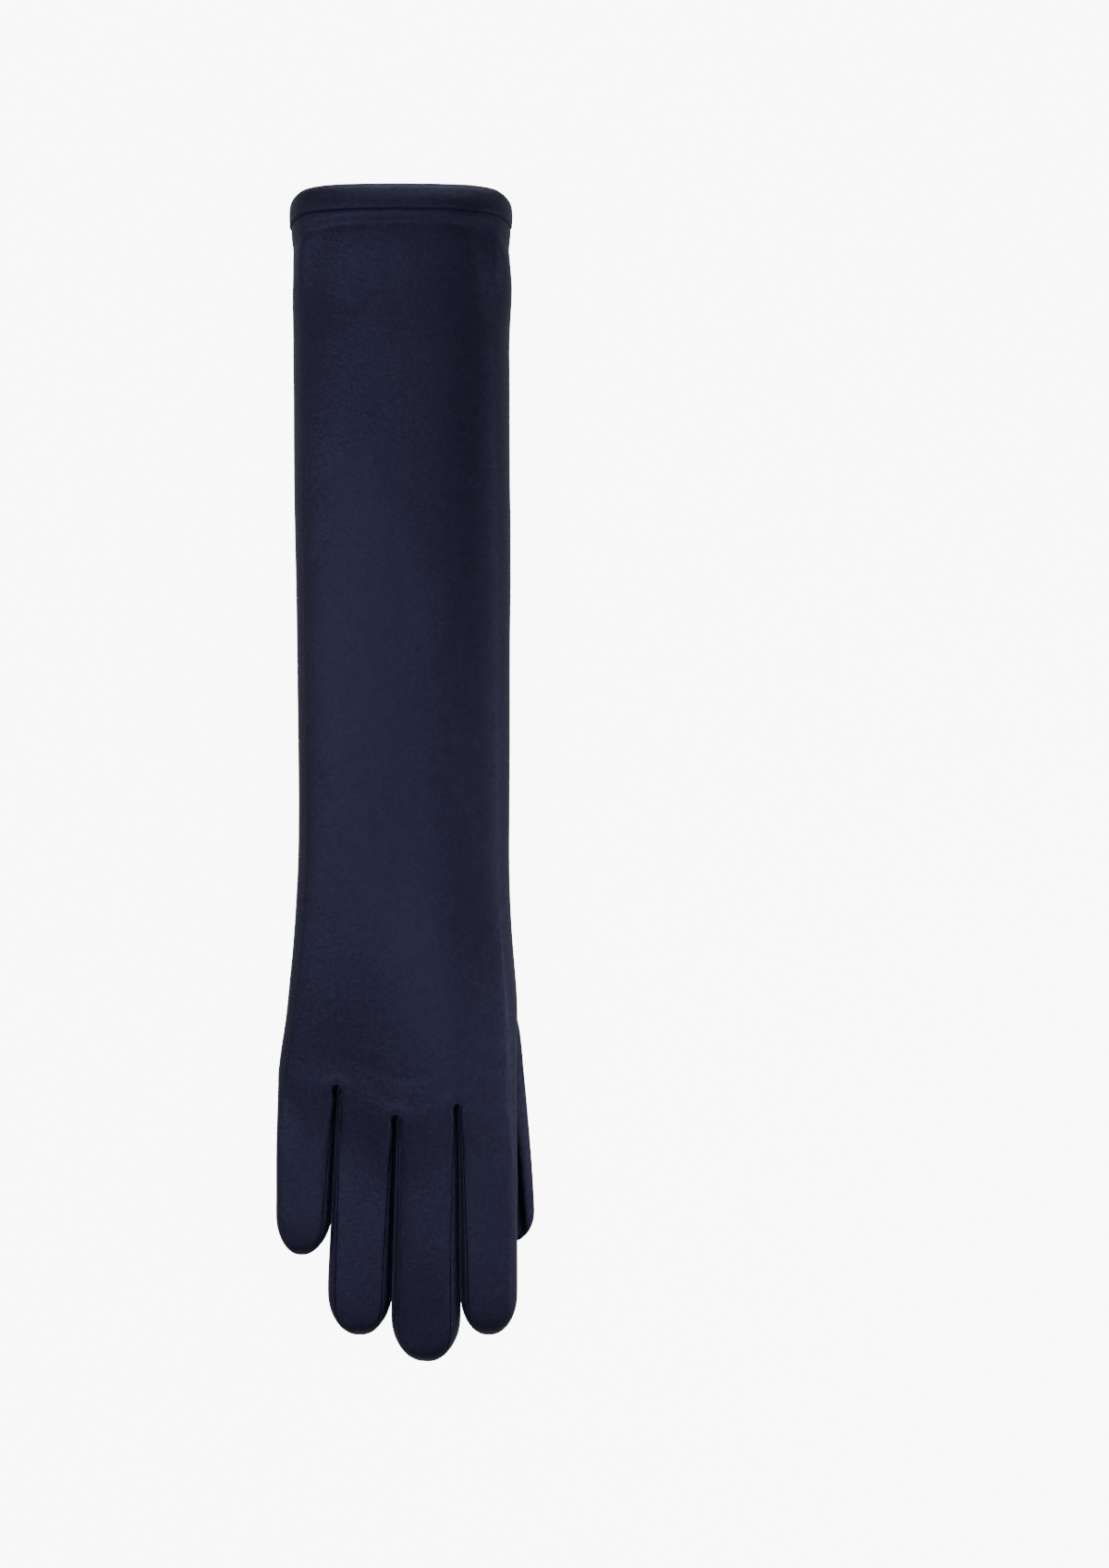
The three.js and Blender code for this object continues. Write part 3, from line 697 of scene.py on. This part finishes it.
def thumb_point(at, angle, turned=0.0):
    end = -THUMB_REACH + THUMB_TIP_LENGTH
    y = mix(THUMB_LENGTH - THUMB_REACH, end, at) - THUMB_TIP_LENGTH * math.sin(turned)
    width = read(THUMB, at, THUMB_W) * THUMB_WIDTH
    height = read(THUMB, at, THUMB_H) * THUMB_HEIGHT
    base = max(read(THUMB, at, BASE), 0) * THUMB_HEIGHT
    shrink = max(math.cos(turned), 0) ** THUMB_FULLNESS
    middle = read(THUMB, at, RIGHT) * HAND_WIDTH - width / 2 + SLEEVE[0][SHIFT]
    c, s = math.cos(angle), math.sin(angle)
    roundness = THUMB_SLANT if c > 0 and s > 0 else BACK_ROUNDNESS
    across = math.copysign(abs(c) ** (2 / roundness), c) * width / 2 * shrink
    up = math.copysign(abs(s) ** (2 / roundness), s) * height / 2 * shrink
    return Vector((middle + across, y, base + height / 2 + up))


def thumb_start(angle):
    """How far along its length the thumb leaves the palm, at one angle round it."""
    inside, outside = 0.0, THUMB_HIDDEN
    for _ in range(HALVINGS):
        at = (inside + outside) / 2
        point = thumb_point(at, angle)
        if point.z > palm_height(point.x, point.y) - SEAM_GAP:
            inside = at
        else:
            outside = at
    return outside


def thumb_skin():
    bm = new_bmesh()
    angles = [-2 * math.pi * i / THUMB_COLUMNS for i in range(THUMB_COLUMNS)]
    starts = [thumb_start(angle) for angle in angles]
    after = starts[1:] + starts[:1]
    starts = [(starts[i - 1] + 2 * s + after[i]) / 4 for i, s in enumerate(starts)]
    loop = circle_loop(bm, THUMB_COLUMNS)
    for vert, angle, start in zip(loop, angles, starts):
        vert.co = thumb_point(start, angle)
    for step in THUMB_ROWS:
        points = [thumb_point(mix(start, 1, step), angle) for angle, start in zip(angles, starts)]
        loop = extrude_loop(bm, loop, points)
    for degrees in THUMB_TIP_ROWS:
        loop = extrude_loop(bm, loop, [thumb_point(1, a, math.radians(degrees)) for a in angles])
    close_tip(bm, loop, thumb_point(1, 0, math.pi / 2))
    face_outward(bm)
    seam_from, seam_to = (Vector((*end, 0)) for end in THUMB_SEAM)
    run = seam_to - seam_from
    for v in bm.verts:
        flat = Vector((v.co.x, v.co.y, 0)) - seam_from
        along = flat.dot(run) / run.length_squared
        away = (flat - clamp(along, 0, 1) * run).length
        inward = (flat.x * run.y - flat.y * run.x) / run.length
        if v.normal.z > 0.1:
            v.co -= v.normal * GROOVE * bell(away, GROOVE_WIDTH) * eased(along, GROOVE_START)
            fallen = eased(inward, FALL_ACROSS) * eased(along, FALL_ALONG)
            v.co.z -= THUMB_FALL * fallen * v.co.z / THUMB_HEIGHT
    return bm


def hem_skin():
    """The band is folded over the sleeve's edge, a long hairpin in section."""
    bm = new_bmesh()
    places = places_round(4 * FINGER_COLUMNS, lambda c: hand_column(c, 1))
    outside = -(HEM_EASE + HEM_WALL)
    inside = WALL + HEM_EASE + HEM_WALL
    fold, radius = (outside + inside) / 2, (inside - outside) / 2
    profile = [(outside + depth, down) for depth, down in HEM_LIP]
    for degrees in HEM_FOLD_TURNS:
        turn = math.radians(degrees)
        profile.append((fold - radius * math.cos(turn), radius * (1 - math.sin(turn))))
    profile += [(inside, down) for down in HEM_INNER_ROWS]
    loop = circle_loop(bm, len(places))
    for r, (depth, down) in enumerate(profile):
        at = 1 - down / SLEEVE_LENGTH
        points = [Vector(sleeve_point(at, part, share, depth)) for part, share, _ in places]
        if r == 0:
            for vert, point in zip(loop, points):
                vert.co = point
        else:
            loop = extrude_loop(bm, loop, points)
    face_outward(bm)
    for v in bm.verts:
        v.co += v.normal * RIPPLE * wave(v.co, RIPPLE_SIZE)
    return bm


# Materials.


def add_node(tree, kind, values=None, **settings):
    node = tree.nodes.new(kind)
    for name, value in settings.items():
        setattr(node, name, value)
    for name, value in (values or {}).items():
        node.inputs[name].default_value = value
    return node


def nap_group():
    """Brushed nap over a fine weave: cloudy shade, short fibres and the threads below."""
    group = bpy.data.node_groups.new("brushed nap", "ShaderNodeTree")
    sockets = [
        ("Deep", "NodeSocketColor", (0.01, 0.012, 0.024, 1)),
        ("Lit", "NodeSocketColor", (0.03, 0.033, 0.06, 1)),
        ("Cloud Size", "NodeSocketFloat", 22.0),
        ("Streak Size", "NodeSocketFloat", 75.0),
        ("Fibre Size", "NodeSocketFloat", 800.0),
        ("Patch Size", "NodeSocketFloat", 95.0),
        ("Thread Pitch", "NodeSocketFloat", 1500.0),
        ("Seed", "NodeSocketFloat", 0.0),
    ]
    for name, kind, value in sockets:
        group.interface.new_socket(name, in_out="INPUT", socket_type=kind).default_value = value
    group.interface.new_socket("Color", in_out="OUTPUT", socket_type="NodeSocketColor")
    group.interface.new_socket("Roughness", in_out="OUTPUT", socket_type="NodeSocketFloat")
    group.interface.new_socket("Height", in_out="OUTPUT", socket_type="NodeSocketFloat")
    given = group.nodes.new("NodeGroupInput")
    out = group.nodes.new("NodeGroupOutput")
    link = group.links.new

    place = add_node(group, "ShaderNodeTexCoord")
    brushed = add_node(group, "ShaderNodeMapping", {"Scale": (3.2, 1.0, 3.2)})
    link(place.outputs["Object"], brushed.inputs["Vector"])

    def noise_mask(where, size, detail, roughness):
        """Noise at a place, with its size from one of the group's sockets."""
        node = add_node(group, "ShaderNodeTexNoise", {"Detail": detail, "Roughness": roughness},
                        noise_dimensions="4D")
        link(where, node.inputs["Vector"])
        link(given.outputs[size], node.inputs["Scale"])
        link(given.outputs["Seed"], node.inputs["W"])
        return node

    clouds = noise_mask(place.outputs["Object"], "Cloud Size", 3.0, 0.55)
    streaks = noise_mask(brushed.outputs["Vector"], "Streak Size", 4.0, 0.6)
    fibres = noise_mask(place.outputs["Object"], "Fibre Size", 2.0, 0.5)
    patches = noise_mask(place.outputs["Object"], "Patch Size", 4.0, 0.6)

    threads = add_node(group, "ShaderNodeMath", operation="MULTIPLY")
    for i, direction in enumerate("XY"):
        bands = add_node(group, "ShaderNodeTexWave", {"Distortion": 1.2, "Detail": 1.0},
                         wave_type="BANDS", bands_direction=direction)
        link(place.outputs["UV"], bands.inputs["Vector"])
        link(given.outputs["Thread Pitch"], bands.inputs["Scale"])
        link(bands.outputs["Fac"], threads.inputs[i])

    def summed(*parts):
        """Adds up masks, each with its own weight."""
        total = None
        for texture, weight in parts:
            node = add_node(group, "ShaderNodeMath", operation="MULTIPLY_ADD")
            link(texture.outputs[0], node.inputs[0])
            node.inputs[1].default_value = weight
            node.inputs[2].default_value = 0.0
            if total is not None:
                link(total, node.inputs[2])
            total = node.outputs[0]
        return total

    spread = add_node(group, "ShaderNodeMapRange", {"From Min": 0.74, "From Max": 1.06})
    shade = summed((clouds, 0.55), (streaks, 0.3), (fibres, 0.9), (threads, 0.06))
    link(shade, spread.inputs["Value"])
    colour = add_node(group, "ShaderNodeMix", data_type="RGBA")
    link(spread.outputs["Result"], colour.inputs["Factor"])
    link(given.outputs["Deep"], colour.inputs["A"])
    link(given.outputs["Lit"], colour.inputs["B"])
    link(colour.outputs["Result"], out.inputs["Color"])

    rough = add_node(group, "ShaderNodeMapRange",
                     {"From Min": 0.3, "From Max": 0.7, "To Min": 0.285, "To Max": 0.375})
    uneven = summed((clouds, 0.3), (patches, 0.35), (fibres, 0.35))
    link(uneven, rough.inputs["Value"])
    link(rough.outputs["Result"], out.inputs["Roughness"])
    link(summed((fibres, 0.8), (threads, 0.2), (streaks, 0.1)), out.inputs["Height"])
    return group


NAP = nap_group()
NAP_BUMP, NAP_DEPTH = 0.6, 0.00036
SPECULAR, SPECULAR_TINT = 0.75, (0.49, 0.465, 1, 1)
SHEEN, SHEEN_ROUGHNESS, SHEEN_TINT = 0.4, 0.3, (0.52, 0.52, 1, 1)


def napped_cloth(name, deep, lit, seed):
    material = bpy.data.materials.new(name)
    material.use_nodes = True
    tree = material.node_tree
    shader = tree.nodes["Principled BSDF"]
    nap = add_node(tree, "ShaderNodeGroup", node_tree=NAP)
    nap.inputs["Deep"].default_value = (*deep, 1)
    nap.inputs["Lit"].default_value = (*lit, 1)
    nap.inputs["Seed"].default_value = seed
    bumped = add_node(tree, "ShaderNodeBump", {"Strength": NAP_BUMP, "Distance": NAP_DEPTH})
    tree.links.new(nap.outputs["Color"], shader.inputs["Base Color"])
    tree.links.new(nap.outputs["Roughness"], shader.inputs["Roughness"])
    tree.links.new(nap.outputs["Height"], bumped.inputs["Height"])
    tree.links.new(bumped.outputs["Normal"], shader.inputs["Normal"])
    shader.inputs["Specular IOR Level"].default_value = SPECULAR
    shader.inputs["Specular Tint"].default_value = SPECULAR_TINT
    shader.inputs["Sheen Weight"].default_value = SHEEN
    shader.inputs["Sheen Roughness"].default_value = SHEEN_ROUGHNESS
    shader.inputs["Sheen Tint"].default_value = SHEEN_TINT
    return material


NAVY_DEEP, NAVY_LIT = (0.0027, 0.0031, 0.0091), (0.0088, 0.0092, 0.0238)
# The side strips take a darker copy of the body's navy: painted shade for the slits between the
# fingers, where the strips lie.
SHADED_DEEP, SHADED_LIT = (0.0022, 0.0028, 0.0078), (0.0072, 0.0083, 0.02)
FOLDED_LIT = (0.008, 0.0092, 0.022)
body_nap = napped_cloth("navy body nap", NAVY_DEEP, NAVY_LIT, 1.0)
strip_nap_painted_shade = napped_cloth("navy strip nap", SHADED_DEEP, SHADED_LIT, 2.0)
thumb_nap = napped_cloth("navy thumb nap", NAVY_DEEP, NAVY_LIT, 3.0)
hem_nap = napped_cloth("navy hem nap", NAVY_DEEP, FOLDED_LIT, 4.0)

# The glove in the frame's place.

hem_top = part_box("hem_band")[1][1] / MM
little_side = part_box("body_cloth")[0][0] / MM
little_edge = SLEEVE[0][SHIFT] + HAND_WIDTH * EDGES[0][1]
offset = Vector((little_side - little_edge, hem_top - SLEEVE_LENGTH, 0))

skin = glove_skin()
body_skin = keep_piece(skin, 0)
turn_edges(body_skin, SEAM_TURN, SEAM_SINK, lambda point: point.y < HEM_ZONE)
body = finished("body_cloth_napped", body_skin, body_nap, "body_cloth", WALL)
for k in (1, 2, 3):
    pair = f"{FINGERS[k - 1][0]}_{FINGERS[k][0]}"
    strip_skin = keep_piece(skin, k)
    turn_edges(strip_skin, SEAM_TURN, SEAM_SINK)
    node = f"side_strip_{pair}"
    finished(f"{node}_napped", strip_skin, strip_nap_painted_shade, node, WALL)
skin.free()
thumb = finished("thumb_napped", thumb_skin(), thumb_nap, "thumb", WALL)
hem = finished("hem_band_napped", hem_skin(), hem_nap, "hem_band", HEM_WALL)

# Floor, light and camera.

FLOOR_SIZE, FLOOR_LEVEL = 12, -0.0003
PAPER, PAPER_ROUGHNESS = (0.45, 0.45, 0.45, 1), 0.9
GLOW_ON_GLOVE, GLOW_SEEN = 0.05, 9.0
WHITE, WORLD_STRENGTH = (1, 1, 1, 1), 0.15
floor_mesh = bpy.data.meshes.new("floor")
bm = bmesh.new()
bmesh.ops.create_grid(bm, x_segments=1, y_segments=1, size=FLOOR_SIZE)
bmesh.ops.translate(bm, verts=bm.verts[:], vec=(0, 0, FLOOR_LEVEL))
bm.to_mesh(floor_mesh)
bm.free()
floor = bpy.data.objects.new("floor", floor_mesh)
bpy.context.scene.collection.objects.link(floor)
paper = bpy.data.materials.new("pale paper")
paper.use_nodes = True
paper_shader = paper.node_tree.nodes["Principled BSDF"]
paper_shader.inputs["Base Color"].default_value = PAPER
paper_shader.inputs["Roughness"].default_value = PAPER_ROUGHNESS
paper_shader.inputs["Specular IOR Level"].default_value = 0.0
paper_shader.inputs["Emission Color"].default_value = WHITE
seen = add_node(paper.node_tree, "ShaderNodeLightPath")
glow = add_node(paper.node_tree, "ShaderNodeMapRange",
                {"To Min": GLOW_ON_GLOVE, "To Max": GLOW_SEEN})
paper.node_tree.links.new(seen.outputs["Is Camera Ray"], glow.inputs["Value"])
paper.node_tree.links.new(glow.outputs["Result"], paper_shader.inputs["Emission Strength"])
floor_mesh.materials.append(paper)

world = bpy.data.worlds.new("studio")
world.use_nodes = True
background = world.node_tree.nodes["Background"]
background.inputs["Color"].default_value = WHITE
background.inputs["Strength"].default_value = WORLD_STRENGTH
bpy.context.scene.world = world


def softbox(name, place, aim, size, power):
    lamp = bpy.data.lights.new(name, "AREA")
    lamp.shape = "RECTANGLE"
    lamp.size, lamp.size_y = size
    lamp.energy = power
    box = bpy.data.objects.new(name, lamp)
    box.location = place
    box.visible_camera = False
    box.rotation_euler = (Vector(aim) - Vector(place)).to_track_quat("-Z", "Y").to_euler()
    bpy.context.scene.collection.objects.link(box)


# Softboxes: place, aim and size in metres, and power in watts.
SOFTBOXES = {
    "key": ((-0.75, -0.05, 1.3), (0, -0.05, 0), (0.14, 1.8), 9.4),
    "rim": ((1.1, 0.0, 0.075), (0, 0, 0.02), (0.1, 1.6), 2.9),
    "thumb": ((0.45, -0.13, 0.1), (0.045, -0.13, 0.01), (0.06, 0.2), 0.3),
    "finger": ((0.3, -0.3, 0.2), (0.0, -0.18, 0.02), (0.06, 0.12), 0.14),
    "hem": ((0.05, 0.62, 0.06), (0, 0.22, 0.02), (0.5, 0.08), 0.75),
}
for lit_part, (place, aim, size, power) in SOFTBOXES.items():
    softbox(f"{lit_part} softbox", place, aim, size, power)

# The camera looks straight down, and the photo's scale holds at one level above the floor.
CAMERA_X, CAMERA_Y = 0.0571, -0.0025
CAMERA_DISTANCE, SCALE_LEVEL = 1.1, 0.015
SENSOR_HEIGHT, SEEN_HEIGHT = 36, 0.59395
lens = bpy.data.cameras.new("camera")
lens.sensor_fit = "VERTICAL"
lens.sensor_height = SENSOR_HEIGHT
lens.lens = lens.sensor_height * CAMERA_DISTANCE / SEEN_HEIGHT
camera = bpy.data.objects.new("camera", lens)
camera.location = (CAMERA_X, CAMERA_Y, CAMERA_DISTANCE + SCALE_LEVEL)
bpy.context.scene.collection.objects.link(camera)
bpy.context.scene.camera = camera

bpy.context.view_layer.update()
